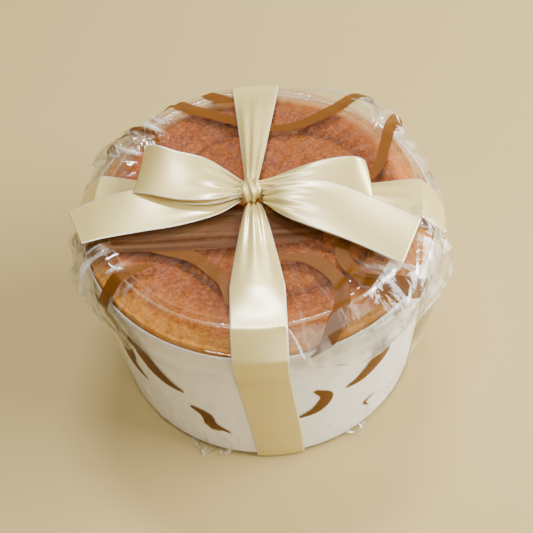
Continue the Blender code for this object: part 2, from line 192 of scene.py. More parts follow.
# Creases of the wrap, place by place: seed, count, ranges of degrees and q, of height, width and
# length in millimetres, and their direction against the rim with its spread, in degrees
CRUMPLES = (
    # Right front: big loose facets along the lid's edge
    (11, 18, (-60, -8), (68, 100), (1.0, 3.2), (3.5, 9.0), (30, 60), (-15, 10)),
    (12, 18, (-66, -8), (60, 110), (0.3, 1.0), (1.6, 4.5), (16, 38), (-18, 14)),
    # Left: gathers that fan down from the seal's end
    (21, 26, (-182, -146), (74, 118), (0.5, 1.9), (2.0, 5.5), (18, 40), (95, 16)),
    (22, 30, (-186, -138), (66, 122), (0.2, 0.7), (1.0, 3.0), (8, 24), (95, 30)),
    # Back left: pleats beside the crosswise ribbon
    (31, 24, (124, 170), (58, 96), (0.3, 1.1), (1.2, 3.0), (20, 38), (70, 9)),
    # Back right corner
    (41, 16, (8, 40), (74, 104), (0.4, 1.6), (1.5, 4.0), (10, 24), (85, 22)),
    (42, 9, (30, 72), (70, 110), (0.5, 1.4), (3.0, 9.0), (18, 40), (80, 14)),
    # Back
    (51, 26, (66, 126), (74, 120), (0.2, 0.9), (2.0, 6.0), (14, 34), (90, 24)),
    # Faint creases down the side all round, stronger near the foot where the film is tucked
    (61, 70, (-180, 180), (100, 165), (0.10, 0.45), (2.0, 7.0), (14, 40), (70, 35)),
    (62, 60, (-180, 180), (138, 171), (0.15, 0.8), (1.5, 5.0), (8, 26), (50, 40)),
    # Top
    (71, 26, (-180, 180), (22, 66), (0.04, 0.16), (2.0, 8.0), (14, 40), (0, 80)),
)

# Loose folded edges of the wrap: degrees, reach of q, lift at the upper and the cut edge, phase
FLAPS = {
    "film_flap_front_right": ((-84.0, -40.0), (71.0, 92.0), (0.25, 1.5), 0.3),
    "film_flap_right": ((-52.0, -12.0), (60.0, 99.0), (0.25, 2.2), 1.9),
    "film_flap_left": ((-182.0, -141.0), (66.0, 93.0), (0.25, 1.8), 4.0),
    "film_flap_left_low": ((-160.0, -128.0), (80.0, 108.0), (0.25, 1.2), 5.2),
    "film_flap_back_left": ((128.0, 168.0), (60.0, 84.0), (0.25, 1.2), 2.6),
}

# Tips of film at the foot: middle in degrees, width and reach
FOOT_TIPS = {
    "film_tip_left": (-115.0, 15.0, 6.5),
    "film_tip_left_small": (-107.0, 8.0, 4.5),
    "film_tip_right": (-57.0, 13.0, 5.0),
    "film_tip_back": (62.0, 14.0, 5.5),
}

# Brush marks: degrees round the pack and distance q of the chart, and widths, in millimetres
STROKES = {
    "back_arc": (((131, 88), (124, 74), (116, 60), (101, 47), (80, 41), (64, 47), (55, 62), (50, 84)),
                 (2.0, 5.5, 6.0, 5.0, 4.6, 5.0, 6.0, 5.5)),
    "back_comma": (((104, 80), (110, 72), (104, 64), (97, 62)), (1.5, 5.0, 5.5, 1.5)),
    "back_left": (((150, 90), (146, 76), (141, 66), (142, 56)), (5.5, 6.0, 5.0, 1.5)),
    "back_right": (((40, 92), (34, 76), (25, 64), (10, 52), (4, 44)), (5.5, 5.5, 5.0, 4.0, 1.5)),
    "right_low": (((18, 92), (11, 84), (8, 96), (14, 112), (22, 124)), (1.5, 5.0, 6.0, 5.0, 1.0)),
    "front_left_arc": (((-160, 66), (-148, 52), (-128, 43), (-108, 48), (-101, 60)),
                       (2.0, 5.0, 5.6, 5.0, 1.5)),
    "front_left_long": (((-139, 56), (-143, 68), (-141, 84), (-133, 98), (-130, 110), (-124, 119),
                         (-117, 123)),
                        (1.5, 5.5, 6.5, 8.0, 9.5, 7.5, 1.0)),
    "front_left_hook": (((-150, 96), (-147, 104), (-141, 114), (-141, 126), (-134, 133)),
                        (1.5, 9.0, 9.5, 8.0, 1.0)),
    "front_left_dash": (((-116, 134), (-111, 138), (-109, 146), (-103, 151)), (2.0, 6.0, 5.0, 1.0)),
    "front_right_arc": (((-80, 36), (-62, 42), (-57, 58), (-66, 74), (-76, 84)),
                        (2.0, 5.0, 6.0, 6.0, 2.0)),
    "front_right_hook": (((-22, 58), (-34, 46), (-47, 50), (-49, 66), (-40, 78), (-31, 82)),
                         (2.0, 5.0, 5.6, 6.0, 6.0, 2.0)),
    "front_right_drip": (((-56, 96), (-50, 101), (-50, 112), (-56, 121), (-63, 124)),
                         (1.5, 8.5, 9.5, 7.0, 1.0)),
    "front_right_dash": (((-74, 116), (-70, 124), (-73, 133), (-80, 137)), (2.0, 6.0, 6.0, 1.0)),
    "front_right_tick": (((-50, 146), (-54, 150), (-52, 155)), (0.8, 1.8, 0.6)),
    "left_curl": (((-172, 112), (-166, 108), (-162, 116), (-166, 128), (-171, 136)),
                  (1.5, 5.0, 5.0, 4.0, 1.0)),
    "left_back": (((168, 84), (162, 96), (165, 112), (172, 124)), (2.0, 6.0, 5.5, 1.0)),
    "back_drip": (((78, 92), (72, 108), (76, 122), (84, 134)), (2.0, 6.0, 5.5, 1.0)),
    "back_drip_left": (((116, 98), (122, 112), (118, 126), (112, 132)), (1.5, 6.0, 5.0, 1.0)),
}

# Painted glints: thin white strips along sharp folds of the wrap, degrees and q, and widths
PAINTED_GLINT_LINES = {
    "corner": (((52, 72), (42, 75), (32, 80), (24, 88)), (0.2, 0.9, 0.8, 0.2)),
    "corner_low": (((38, 80), (28, 86), (20, 95), (16, 104)), (0.2, 0.7, 0.6, 0.2)),
    "corner_high": (((60, 76), (54, 84), (50, 94)), (0.1, 0.5, 0.2)),
    "right": (((-28, 73), (-40, 78), (-50, 80), (-62, 81)), (0.2, 1.2, 0.9, 0.2)),
    "right_middle": (((-27, 76), (-40, 82), (-52, 84), (-68, 86)), (0.2, 1.2, 0.8, 0.1)),
    "right_low": (((-26, 78), (-34, 83), (-46, 88), (-60, 90)), (0.2, 1.4, 0.7, 0.1)),
    "right_corner": (((-12, 68), (-20, 76), (-26, 86)), (0.2, 0.9, 0.2)),
    "left": (((-170, 70), (-163, 82), (-158, 98)), (0.2, 0.8, 0.2)),
    "left_high": (((-175, 70), (-173, 84), (-173, 100)), (0.2, 0.7, 0.2)),
    "left_low": (((-166, 68), (-155, 78), (-146, 90)), (0.2, 0.6, 0.1)),
    "pleat_1": (((160, 64), (152, 74), (147, 88)), (0.2, 0.6, 0.2)),
    "pleat_2": (((154, 60), (146, 70), (140, 84)), (0.2, 0.9, 0.2)),
    "pleat_3": (((147, 60), (138, 70), (132, 82)), (0.2, 0.6, 0.2)),
}

# Flat places between folds, painted white as the window's reflection in them
PAINTED_REFLECTION_FACETS = {
    "right": (((-58, 72.0), (-47, 70.6), (-36, 69.2)), (0.4, 3.4, 6.5)),
    "right_low": (((-52, 86.5), (-40, 84.0), (-30, 78.5)), (0.5, 4.0, 1.0)),
    "corner": (((-33, 71.0), (-28, 68.0), (-22, 66.0)), (1.0, 4.5, 1.0)),
}

# Layers of the seal across the top: low and high y, left and right x, lift
SEALS = ((-28.5, -9.0, -70.0, 27.0, 0.22), (-29.6, -24.5, -71.0, 17.0, 0.30))

# Middle lines of the bow's strips: place, direction across, width
LEFT_LOOP = (
    (-5.2, -3.6, 107.9, 0.0, 0.99, 0.10, 5.6),
    (-19.0, -1.6, 112.2, -0.10, 0.93, 0.33, 18.5),
    (-32.5, 0.2, 113.8, -0.10, 0.90, 0.43, 22.0),
    (-44.0, 4.2, 113.9, 0.14, 0.88, 0.45, 22.0),
    (-50.0, 7.2, 110.8, 0.24, 0.90, 0.36, 22.0),
    (-44.5, 5.4, 107.8, 0.12, 0.96, 0.22, 22.0),
    (-32.0, 2.0, 107.2, 0.0, 0.98, 0.17, 21.5),
    (-19.0, -1.2, 106.9, 0.0, 0.98, 0.15, 17.0),
    (-5.2, -3.4, 106.2, 0.0, 1.0, 0.05, 5.4),
)
RIGHT_LOOP = (
    (0.8, -2.4, 107.6, 0.0, 0.99, 0.15, 4.6),
    (18.5, -5.0, 109.9, 0.05, 0.92, 0.38, 16.5),
    (31.0, -5.2, 110.6, 0.0, 0.91, 0.41, 21.5),
    (42.5, -4.4, 110.0, -0.05, 0.90, 0.42, 22.0),
    (47.6, -4.2, 107.4, -0.08, 0.95, 0.28, 21.5),
    (42.5, -3.0, 104.9, -0.05, 0.99, 0.11, 22.0),
    (31.0, -3.6, 104.2, 0.0, 1.0, 0.05, 21.0),
    (18.5, -3.6, 104.2, 0.0, 1.0, 0.03, 15.0),
    (0.8, -2.6, 105.4, 0.0, 1.0, 0.0, 5.2),
)
LEFT_TAIL = (
    (-7.6, -5.2, 104.3, -0.30, 0.95, 0.0, 6.0),
    (-18.0, -7.5, 104.5, -0.10, 0.99, 0.03, 15.0),
    (-34.0, -9.5, 105.4, -0.15, 0.98, 0.08, 21.0),
    (-50.0, -11.5, 105.8, -0.16, 0.98, 0.13, 22.0),
    (-66.0, -14.2, 104.6, -0.20, 0.97, 0.02, 22.0),
    (-76.6, -16.8, 102.7, -0.40, 0.91, -0.08, 21.5),
)
RIGHT_TAIL = (
    (3.4, -8.6, 107.2, 0.0, 0.77, 0.64, 5.5),
    (12.0, -11.6, 109.4, 0.15, 0.91, 0.39, 15.0),
    (25.0, -15.3, 109.6, 0.38, 0.86, 0.34, 21.0),
    (42.0, -23.0, 107.9, 0.42, 0.87, 0.26, 22.0),
    (62.0, -34.3, 105.5, 0.43, 0.88, 0.22, 22.0),
)

# Free strips of the bow: controls, rows, node, folds (depth, waves, phase), arch, how it is held
BOW = {
    "loop_left": (LEFT_LOOP, 190, "bow_loop_left", (1.1, 3.0, 0.4), 0.7, "folded", ["bow_knot"]),
    "loop_right": (RIGHT_LOOP, 190, "bow_loop_right", (1.0, 3.0, -0.5), 0.7, "folded", ["bow_knot"]),
    "tail_left": (LEFT_TAIL, 120, "bow_tail_left", (0.9, 3.0, 0.2), 0.3, "laid", ["band_crosswise"]),
    "tail_right": (RIGHT_TAIL, 110, "bow_tail_right", (1.1, 3.0, 0.8), 0.6, "laid", ["band_crosswise"]),
}

# Lights: degrees round and above the pack, distance and size in metres, watts, colour
LIGHTS = {
    "window right": (1.0, 29.0, 1.5, (1.3, 0.9), 90.0, (255, 252, 246)),
    "window behind": (86.0, 67.0, 1.4, (0.40, 0.14), 18.0, (252, 252, 255)),
    "overhead": (-150.0, 76.0, 1.4, (0.16, 0.30), 8.0, (255, 252, 246)),
    "front glint": (-98.0, 65.0, 1.4, (0.4, 0.12), 5.0, (255, 253, 248)),
    "room": (-66.0, 20.0, 1.8, (1.3, 0.8), 11.0, (255, 253, 244)),
}
LIGHT_AIM = 0.05           # height that the lights aim at, metres
ROOM_STRENGTH = 0.27
FLOOR_REACH = 1400.0

# Camera: angles in degrees, the rest in millimetres
CAMERA_HEIGHT_ANGLE = 51.80
CAMERA_TURN = 2.5
CAMERA_ROLL = 4.41
CAMERA_TARGET = (1.68, 20.37, 23.4)
CAMERA_DISTANCE = 431.0
SENSOR_WIDTH = 36.0
LENS_SHARE = 830.0 / 533.0   # focal length as a share of the picture's width


def linear(colour):
    """sRGB colour of 0 to 255 as Blender's linear one."""
    return tuple(((c / 255.0 + 0.055) / 1.055) ** 2.4 for c in colour) + (1.0,)


def smooth(low, high, value):
    """0 at low, 1 at high, an S-curve between; low may be the larger."""
    t = np.clip((np.asarray(value, float) - low) / (high - low), 0.0, 1.0)
    return t * t * (3.0 - 2.0 * t)


def bell(value, spread):
    """1 at zero, dying away as a Gauss curve."""
    return np.exp(-((np.asarray(value, float) / spread) ** 2))


def turn_between(angle, middle):
    """Signed angle from a middle direction in degrees to angles in radians, as degrees."""
    return np.degrees(np.angle(np.exp(1j * (np.asarray(angle, float) - math.radians(middle)))))


# Meshes


def quads(rows, columns, closed):
    """Corner numbers of the quads of a grid of points; closed joins the last column to the first."""
    i = np.arange(rows - 1)[:, None] * columns
    j = np.arange(columns if closed else columns - 1)[None, :]
    k = (j + 1) % columns
    return np.stack([i + j, i + k, i + columns + k, i + columns + j], -1).reshape(-1, 4)


def piece(name, points, finish, closed=False, poles=(None, None), uv=None, flip=False,
          fields=None):
    """Mesh object from a grid of points in millimetres, riding on the pack.

    poles close the first and the last row with a point each. uv holds two numbers a point, fields
    a named number a point.
    """
    rows, columns = points.shape[:2]
    vertices = points.reshape(-1, 3)
    faces = quads(rows, columns, closed).tolist()
    extra = 0
    for row, pole in ((0, poles[0]), (rows - 1, poles[1])):
        if pole is None:
            continue
        tip = rows * columns + extra
        vertices = np.vstack([vertices, [pole]])
        extra += 1
        j = np.arange(columns)
        ring = np.stack([row * columns + j, row * columns + (j + 1) % columns], -1)
        ring = ring[:, ::-1] if row == 0 else ring
        faces += np.column_stack([ring, np.full(columns, tip)]).tolist()
    mesh = bpy.data.meshes.new(name)
    mesh.from_pydata(vertices * MM, [], faces)
    if flip:
        mesh.flip_normals()
    if uv is not None:
        flat = np.vstack([uv.reshape(-1, 2), np.zeros((extra, 2))])
        corner = np.zeros(len(mesh.loops), np.int64)
        mesh.loops.foreach_get("vertex_index", corner)
        mesh.uv_layers.new(name="UVMap").data.foreach_set("uv", flat[corner].ravel())
    for label, values in (fields or {}).items():
        layer = mesh.attributes.new(label, "FLOAT", "POINT")
        layer.data.foreach_set("value", np.append(values.ravel(), np.zeros(extra)))
    mesh.shade_smooth()
    mesh.materials.append(finish)
    made = bpy.data.objects.new(name, mesh)
    bpy.context.scene.collection.objects.link(made)
    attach(made, "root")
    return made


def turned(profile, steps):
    """Grid of points from a profile of (radius, height) turned about the vertical."""
    angles = np.linspace(0.0, math.tau, steps, endpoint=False)
    profile = np.asarray(profile, float)
    ring = np.stack([np.cos(angles), np.sin(angles)], -1)
    flat = profile[:, 0][:, None, None] * ring[None]
    height = np.broadcast_to(profile[:, 1][:, None, None], flat.shape[:2] + (1,))
    return np.concatenate([flat, height], -1)


def through(points, count):
    """Smooth curve through control points, any number of values a point.

    Between two points b and c it is the cubic whose slopes there are half of c - a and d - b.
    """
    points = np.asarray(points, float)
    padded = np.vstack([2 * points[0] - points[1], points, 2 * points[-1] - points[-2]])
    where = np.linspace(0.0, len(points) - 1.0, count)
    index = np.minimum(where.astype(int), len(points) - 2)
    t = (where - index)[:, None]
    a, b, c, d = (padded[index + k] for k in range(4))
    square = 2 * a - 5 * b + 4 * c - d
    cube = 3 * b - a - 3 * c + d
    return 0.5 * (2 * b + (c - a) * t + square * t**2 + cube * t**3)


# Shading


class Value:
    """A shader socket on which + - * / and ** add Math nodes."""

    def __init__(self, finish, socket):
        self.finish = finish
        self.socket = socket

    def math(self, operation, *others):
        inputs = dict(enumerate((self,) + others))
        return self.finish.node("ShaderNodeMath", {"operation": operation}, inputs)

    def __add__(self, other):
        return self.math("ADD", other)

    def __sub__(self, other):
        return self.math("SUBTRACT", other)

    def __mul__(self, other):
        return self.math("MULTIPLY", other)

    def __truediv__(self, other):
        return self.math("DIVIDE", other)

    def __pow__(self, other):
        return self.math("POWER", other)

    def __rsub__(self, other):
        return self * -1.0 + other

    __radd__ = __add__
    __rmul__ = __mul__


class Finish:
    """A material under construction."""

    def __init__(self, name):
        self.material = bpy.data.materials.new(name)
        self.material.use_nodes = True
        self.tree = self.material.node_tree
        self.tree.nodes.clear()

    def node(self, kind, settings=None, inputs=None, output=0):
        """Adds a node: its settings and ramp stops first, then its sockets' values or links."""
        made = self.tree.nodes.new(kind)
        for key, value in (settings or {}).items():
            if key == "stops":
                ramp = made.color_ramp.elements
                while len(ramp) < len(value):
                    ramp.new(0.5)
                for element, (place, colour) in zip(ramp, value):
                    element.position = place
                    element.color = colour
            else:
                setattr(made, key, value)
        for key, value in (inputs or {}).items():
            if isinstance(value, Value):
                self.tree.links.new(value.socket, made.inputs[key])
            else:
                made.inputs[key].default_value = value
        return Value(self, made.outputs[output])

    def place(self):
        """Object coordinates, in metres."""
        return self.node("ShaderNodeTexCoord", output="Object")

    def across(self):
        """The piece's own UV map, in millimetres along and across it."""
        return self.node("ShaderNodeUVMap", {"uv_map": "UVMap"})

    def parts(self, vector):
        """The three numbers of a vector."""
        made = self.tree.nodes.new("ShaderNodeSeparateXYZ")
        self.tree.links.new(vector.socket, made.inputs[0])
        return [Value(self, made.outputs[k]) for k in range(3)]

    def stretch(self, vector, scale):
        """The vector with each of its numbers scaled."""
        return self.node("ShaderNodeVectorMath", {"operation": "MULTIPLY"}, {0: vector, 1: scale})

    def noise(self, vector, scale, detail=3.0, rough=0.5, warp=0.0):
        """Cloudy noise between 0 and 1."""
        inputs = {"Vector": vector, "Scale": scale, "Detail": detail}
        inputs.update({"Roughness": rough, "Distortion": warp})
        return self.node("ShaderNodeTexNoise", None, inputs)

    def ramp(self, factor, low, high):
        """Smooth step of a number from 0 at low to 1 at high."""
        settings = {"interpolation_type": "SMOOTHSTEP"}
        return self.node("ShaderNodeMapRange", settings, {0: factor, 1: low, 2: high, 3: 0.0, 4: 1.0})

    def mix(self, factor, first, second):
        """Colour between two colours."""
        inputs = {0: factor, 6: first, 7: second}
        return self.node("ShaderNodeMix", {"data_type": "RGBA"}, inputs, output=2)

    def bump(self, height, distance, strength=1.0):
        """Normal raised by a height field, distance in metres."""
        inputs = {"Height": height, "Distance": distance, "Strength": strength}
        return self.node("ShaderNodeBump", None, inputs)

    def combine(self, x, y, z):
        """Vector of three numbers."""
        return self.node("ShaderNodeCombineXYZ", None, {0: x, 1: y, 2: z})

    def blend(self, share, first, second):
        """Surface between two surfaces."""
        return self.node("ShaderNodeMixShader", None, {0: share, 1: first, 2: second})

    def clear(self, colour):
        """Surface that lets light straight through, tinted."""
        return self.node("ShaderNodeBsdfTransparent", None, {"Color": linear(colour)})

    def solid(self, inputs):
        """Opaque surface with the given sockets' values."""
        return self.node("ShaderNodeBsdfPrincipled", None, inputs)

    def end(self, shader):
        """Closes the material with its surface shader."""
        out = self.tree.nodes.new("ShaderNodeOutputMaterial")
        self.tree.links.new(shader.socket, out.inputs["Surface"])
        return self.material


def crust_finish():
    """Baked crust by distance from the cake's middle: speckled porous middle, a crease darkened with
    painted shade, red-brown ring, golden rim, and pale sponge down the side."""
    f = Finish("baked crust")
    place = f.place()
    x, y, _ = f.parts(place)
    drift = f.noise(place, 38.0, 3.0) - 0.5
    patch = f.noise(place, 85.0, 4.0, 0.6, 0.4)
    blots = f.noise(place, 260.0, 3.0, 0.6)
    grains = f.noise(place, 760.0, 2.0, 0.6)
    pores = f.node("ShaderNodeTexVoronoi", {"feature": "F1"}, {"Vector": place, "Scale": 620.0})
    radius = (x * x + y * y) ** 0.5 / MM + drift * 8.0
    colour = f.mix(f.ramp(patch, 0.35, 0.68), linear(CRUST_MIDDLE), linear(CRUST_RED))
    outer = f.ramp(radius, *RED_RING)
    colour = f.mix(outer * 0.7, colour, linear(CRUST_RED))
    gold = f.ramp(radius + (patch - 0.5) * 12.0, *GOLD_RING)
    colour = f.mix(gold, colour, linear(CRUST_GOLD))
    # Painted shade: a dark line along the crease's groove, mixed in below with the crust's own darker
    # blotches.
    crease_x = x - CREASE_MIDDLE[0] * MM
    crease_y = y - CREASE_MIDDLE[1] * MM
    crease = (crease_x * crease_x + crease_y * crease_y) ** 0.5 / MM + drift * 5.0
    crease = (crease - CREASE_RADIUS) / 1.6
    crease = (crease * crease * -1.0).math("EXPONENT")
    dark = f.ramp(patch * 0.5 + blots * 0.5, 0.53, 0.68) * (1.0 - gold * 0.7) * 0.75
    colour = f.mix((crease * 0.7).math("MAXIMUM", dark), colour, linear(CRUST_DARK))
    side = f.ramp(radius + (blots - 0.5) * 5.0, *SPONGE_RING)
    colour = f.mix(side, colour, linear(SPONGE))
    colour = f.mix(f.ramp(grains, 0.52, 0.66) * 0.5, colour, linear(CRUST_PALE))
    colour = f.mix(f.ramp(grains, 0.46, 0.34) * 0.38, colour, linear(CRUST_DARK))
    colour = f.mix(f.ramp(pores, 0.26, 0.10) * 0.28, colour, linear(CRUST_DARK))
    relief = grains * 0.5 + blots * 0.5 + f.ramp(pores, 0.1, 0.35) * 0.3
    inputs = {"Base Color": colour, "Roughness": 0.62, "Normal": f.bump(relief, 0.0009, 0.9)}
    inputs["Specular IOR Level"] = 0.35
    return f.end(f.solid(inputs))


def tub_finish():
    """Smooth white plastic with the faintest unevenness."""
    f = Finish("white tub")
    place = f.place()
    wave = f.noise(place, 30.0, 2.0)
    inputs = {"Base Color": linear(TUB_WHITE), "Roughness": 0.34 + wave * 0.12}
    inputs["Normal"] = f.bump(wave, 0.0006, 0.3)
    return f.end(f.solid(inputs))


def lid_finish():
    """Clear rigid plastic, glossy by Fresnel: the least bit milky, with a milkier ring of painted
    reflection inside the bead at the back, and a painted highlight as a thin pale line along each edge
    of the bead."""
    f = Finish("clear lid")
    place = f.place()
    x, y, _ = f.parts(place)
    radius = (x * x + y * y) ** 0.5 / MM
    # Painted reflection: a milkier ring inside the bead towards the back.
    ring = f.ramp(radius, 60.0, 64.5) * f.ramp(y, -0.005, 0.055) * 0.24
    # Painted highlights: thin pale lines along the bead's outer and inner edges.
    outer = f.ramp((radius - LID_EDGE + 0.4).math("ABSOLUTE"), 0.7, 0.1)
    inner = f.ramp((radius - LID_EDGE + BEAD_WIDTH + 0.1).math("ABSOLUTE"), 0.6, 0.1)
    lines = outer + inner * 0.5
    normal = f.bump(f.noise(place, 90.0, 2.0), 0.0004, 0.3)
    haze_and_painted_light = f.node("ShaderNodeBsdfDiffuse", None, {"Color": linear(LID_HAZE_AND_PAINTED_LIGHT)})
    body = f.blend(ring + lines * 0.30 + 0.012, f.clear(LID_CLEAR), haze_and_painted_light)
    return glossy_sheet(f, body, normal, 1.38)


def glossy_sheet(f, body, normal, ior):
    """Ends a clear material: its body under a gloss that grows by Fresnel."""
    inputs = {"Color": (1.0, 1.0, 1.0, 1.0), "Roughness": 0.06, "Normal": normal}
    gloss = f.node("ShaderNodeBsdfGlossy", None, inputs)
    fresnel = f.node("ShaderNodeFresnel", None, {"IOR": ior, "Normal": normal})
    shine = fresnel.math("MINIMUM", 0.45)
    return f.end(f.blend(shine, body, gloss))


def film_finish():
    """Thin clear film: glossy by Fresnel, with fine creases, streaks of painted light and shade where
    it is gathered, a painted highlight wherever the attribute rim puts it, and cloudy patches of the
    milky tone in a band under the lid's rim. The attributes loose and rim say where it is gathered,
    and where it is cut or carries a painted highlight: cut edges, sharp folds and mirroring facets."""
    f = Finish("clear film")
    place = f.place()
    loose = f.node("ShaderNodeAttribute", {"attribute_name": "loose"}, output="Fac")
    # rim says where the film is painted with a highlight: cut edges, fold lines and facets.
    rim = f.node("ShaderNodeAttribute", {"attribute_name": "rim"}, output="Fac")
    x, y, z = f.parts(place)
    radius = (x * x + y * y) ** 0.5 + 0.001
    girth = CHART_RADIUS * MM
    way = f.combine(x / radius * girth, y / radius * girth, (z - radius) * 0.22)
    long_lines = f.noise(way, 85.0, 1.0, 0.4, 0.6) - 0.5
    short_lines = f.noise(way, 230.0, 1.0, 0.4, 0.6) - 0.5
    ridges = long_lines.math("ABSOLUTE") + short_lines.math("ABSOLUTE") * 0.3
    normal = f.bump(ridges * loose, 0.0060, 1.0)
    # Painted light and shade of the gathers: streaks of the milky tone, light or dark at random, where
    # the film is loose.
    gather_light_streaks = f.noise(way, 300.0, 2.0, 0.5, 0.3)
    shade = f.noise(way, 210.0, 2.0, 0.5)
    tone = f.mix(f.ramp(shade, 0.42, 0.58), linear(FILM_SHADE), linear(FILM_LIGHT))
    haze_and_painted_light = f.solid({"Base Color": tone, "Roughness": 0.3})
    height = z / MM
    # Cloudy patches of the milky tone in a band under the lid's rim.
    under_rim = f.ramp(height, 70.0, 80.0) * f.ramp(height, 91.0, 87.0)
    clouds = f.noise(f.stretch(place, (1.0, 1.0, 2.6)), 38.0, 3.0)
    rim_band_patches = f.ramp(clouds, 0.50, 0.64) * under_rim
    cover = f.ramp(gather_light_streaks, 0.50, 0.68) * loose * 0.42 + rim * 0.75 + rim_band_patches * 0.22 + 0.012
    return glossy_sheet(f, f.blend(cover, f.clear(FILM_CLEAR), haze_and_painted_light), normal, 1.45)


def seal_finish():
    """Doubled film of the seal, milky with straight lines along it; its grey-brown is painted shadow of
    the ribbon and painted reflection of the dark room.
    """
    f = Finish("film seal")
    along, across, _ = f.parts(f.across())
    lines = f.noise(f.combine(along * 0.008, across * 0.30, 0.0), 1.0, 2.0, 0.5)
    # Painted shade: the dark grey-brown stands for the ribbon's shadow and the dark room mirrored in
    # the seal.
    colour = f.mix(f.ramp(lines, 0.30, 0.70), linear(SEAL_PAINTED_SHADE_DARK), linear(SEAL_PAINTED_SHADE_PALE))
    body = f.solid({"Base Color": colour, "Roughness": 0.2})
    cover = f.ramp(lines, 0.25, 0.75) * 0.20 + 0.26
    return f.end(f.blend(cover, f.clear(SEAL_TINT), body))


def brush_finish():
    """Brown brush stroke on clear film: nearly opaque, a little dull and cloudy."""
    f = Finish("brown brush print")
    streak = f.noise(f.place(), 120.0, 3.0)
    colour = f.mix(streak, linear(BRUSH_DARK), linear(BRUSH_BROWN))
    body = f.solid({"Base Color": colour, "Roughness": 0.4, "Specular IOR Level": 0.1})
    return f.end(f.blend(0.90, f.clear(BRUSH_TINT), body))


def satin_finish():
    """Cream satin: fine ribs across the ribbon, a glossy face, lighter woven edges and a little
    light that comes through from behind."""
    f = Finish("cream satin")
    along, across, _ = f.parts(f.across())
    place = f.place()
    ribs = (along * 16.0).math("SINE")
    threads = f.noise(f.combine(along * 0.5, across * 2.5, 0.0), 1.0, 2.0)
    half = RIBBON_WIDTH * 0.5
    edge = f.ramp(across.math("ABSOLUTE"), half - 0.75, half - 0.45)
    colour = f.mix(threads * 0.25, linear(SATIN_CREAM), linear(SATIN_SHADE))
    colour = f.mix(edge * 0.8, colour, linear(SATIN_EDGE))
    height = ribs * 0.15 * (1.0 - edge) + threads * 0.6 + edge * 1.2
    normal = f.bump(height, 0.00003)
    speckle = f.noise(place, 900.0, 2.0)
    grain = f.noise(place, 2300.0, 1.0)
    colour = f.mix(f.ramp(grain, 0.42, 0.66) * 0.35, colour, linear(SATIN_GRAIN))
    inputs = {"Base Color": colour, "Roughness": 0.24 + speckle * 0.18, "Normal": normal}
    inputs["Specular IOR Level"] = 1.0
    inputs["Metallic"] = 0.32
    inputs["Coat Weight"] = 1.0
    inputs["Coat Roughness"] = 0.22
    inputs["Coat IOR"] = 1.7
    light = {"Color": linear(SATIN_GLOW), "Normal": normal}
    glow = f.node("ShaderNodeBsdfTranslucent", None, light)
    return f.end(f.blend(0.22, f.solid(inputs), glow))


# The film's chart


def tub_radius(height):
    """Outer radius of the tapering tub at a height."""
    share = (height - TUB_FOOT) / (RIM_HEIGHT - TUB_FOOT)
    return FOOT_RADIUS + (TUB_RADIUS - FOOT_RADIUS) * share


def ears(angle):
    """How far the loose corners of the wrap stand out at an angle."""
    reach = np.full(np.shape(angle), CORNER_LEAST)
    for middle, size, spread in CORNERS:
        reach = reach + size * bell(turn_between(angle, middle), spread)
    return reach


def side_radius(angle, height):
    """Radius of the smooth wrap at a height: close to tub and skirt, loose at the corners."""
    loose = ears(angle) * smooth(45.0, BULGE, height)
    middle, spread = SLACK_PLACE
    slack = SLACK * bell(turn_between(angle, middle), spread) * smooth(2.0, 40.0, height)
    slack = slack * (1.0 - 0.85 * smooth(60.0, BULGE, height))
    skirt = (LID_RADIUS - tub_radius(SKIRT_BOTTOM)) * smooth(66.0, 81.0, height)
    return tub_radius(np.minimum(height, SKIRT_BOTTOM)) + FILM_GAP + skirt + loose + slack


def chart(angle, q):
    """Radius and height of the smooth wrap, and the slope of its outward normal above level.

    The shoulder is a quarter turn from the bulge up to the lid's edge: a straight fall where the
    film is taut, rounder in the loose corners.
    """
    angle, q = np.broadcast_arrays(np.asarray(angle, float), np.asarray(q, float))
    height = np.clip(BULGE - (q - SIDE_START), FILM_FLOOR, BULGE)
    turn = np.clip((SIDE_START - q) / SHOULDER_LENGTH, 0.0, 1.0) * math.pi / 2.0
    widest = side_radius(angle, np.full(q.shape, BULGE))
    fall = 1.0 - np.sin(turn) ** 2
    share = np.clip(0.12 + ears(angle) / LARGEST_CORNER, 0.0, 1.0)
    out = fall + (np.cos(turn) - fall) * share
    up = np.sin(turn) ** 2 + (np.sin(turn) - np.sin(turn) ** 2) * share
    radius = np.where(q < TOP_END, q, FILM_EDGE + (widest - FILM_EDGE) * out)
    radius = np.where(q > SIDE_START, side_radius(angle, height), radius)
    height = np.where(q > SIDE_START, height, BULGE + (FILM_TOP - BULGE) * up)
    height = np.where(q < TOP_END, FILM_TOP, height)
    lean = math.pi / 2.0 * (1.0 - smooth(TOP_END - 2.0, SIDE_START + 4.0, q))
    return radius, height, lean


def laid(angle, q, lift):
    """Points a lift above the smooth wrap at chart places."""
    radius, height, lean = chart(angle, q)
    reach = radius + lift * np.cos(lean)
    return np.stack([reach * np.cos(angle), reach * np.sin(angle), height + lift * np.sin(lean)], -1)


def fold(angle, q, start, end, height, front, back):
    """Crease along a straight line of the chart: a tent whose two slopes reach front and back.

    start and end are (degrees, q). The tent dies away over a quarter of its length at both ends.
    """
    middle = 0.5 * (start[0] + end[0])
    x = turn_between(angle, middle) * ARC
    x0, y0 = (start[0] - middle) * ARC, start[1]
    dx, dy = (end[0] - start[0]) * ARC, end[1] - start[1]
    length = math.hypot(dx, dy)
    along = ((x - x0) * dx + (q - y0) * dy) / length**2
    away = ((x - x0) * dy - (q - y0) * dx) / length
    tent = np.clip(1.0 - np.where(away > 0.0, away / front, -away / back), 0.0, 1.0)
    ends = np.clip(np.minimum(along, 1.0 - along) * 4.0, 0.0, 1.0)
    return height * tent * ends


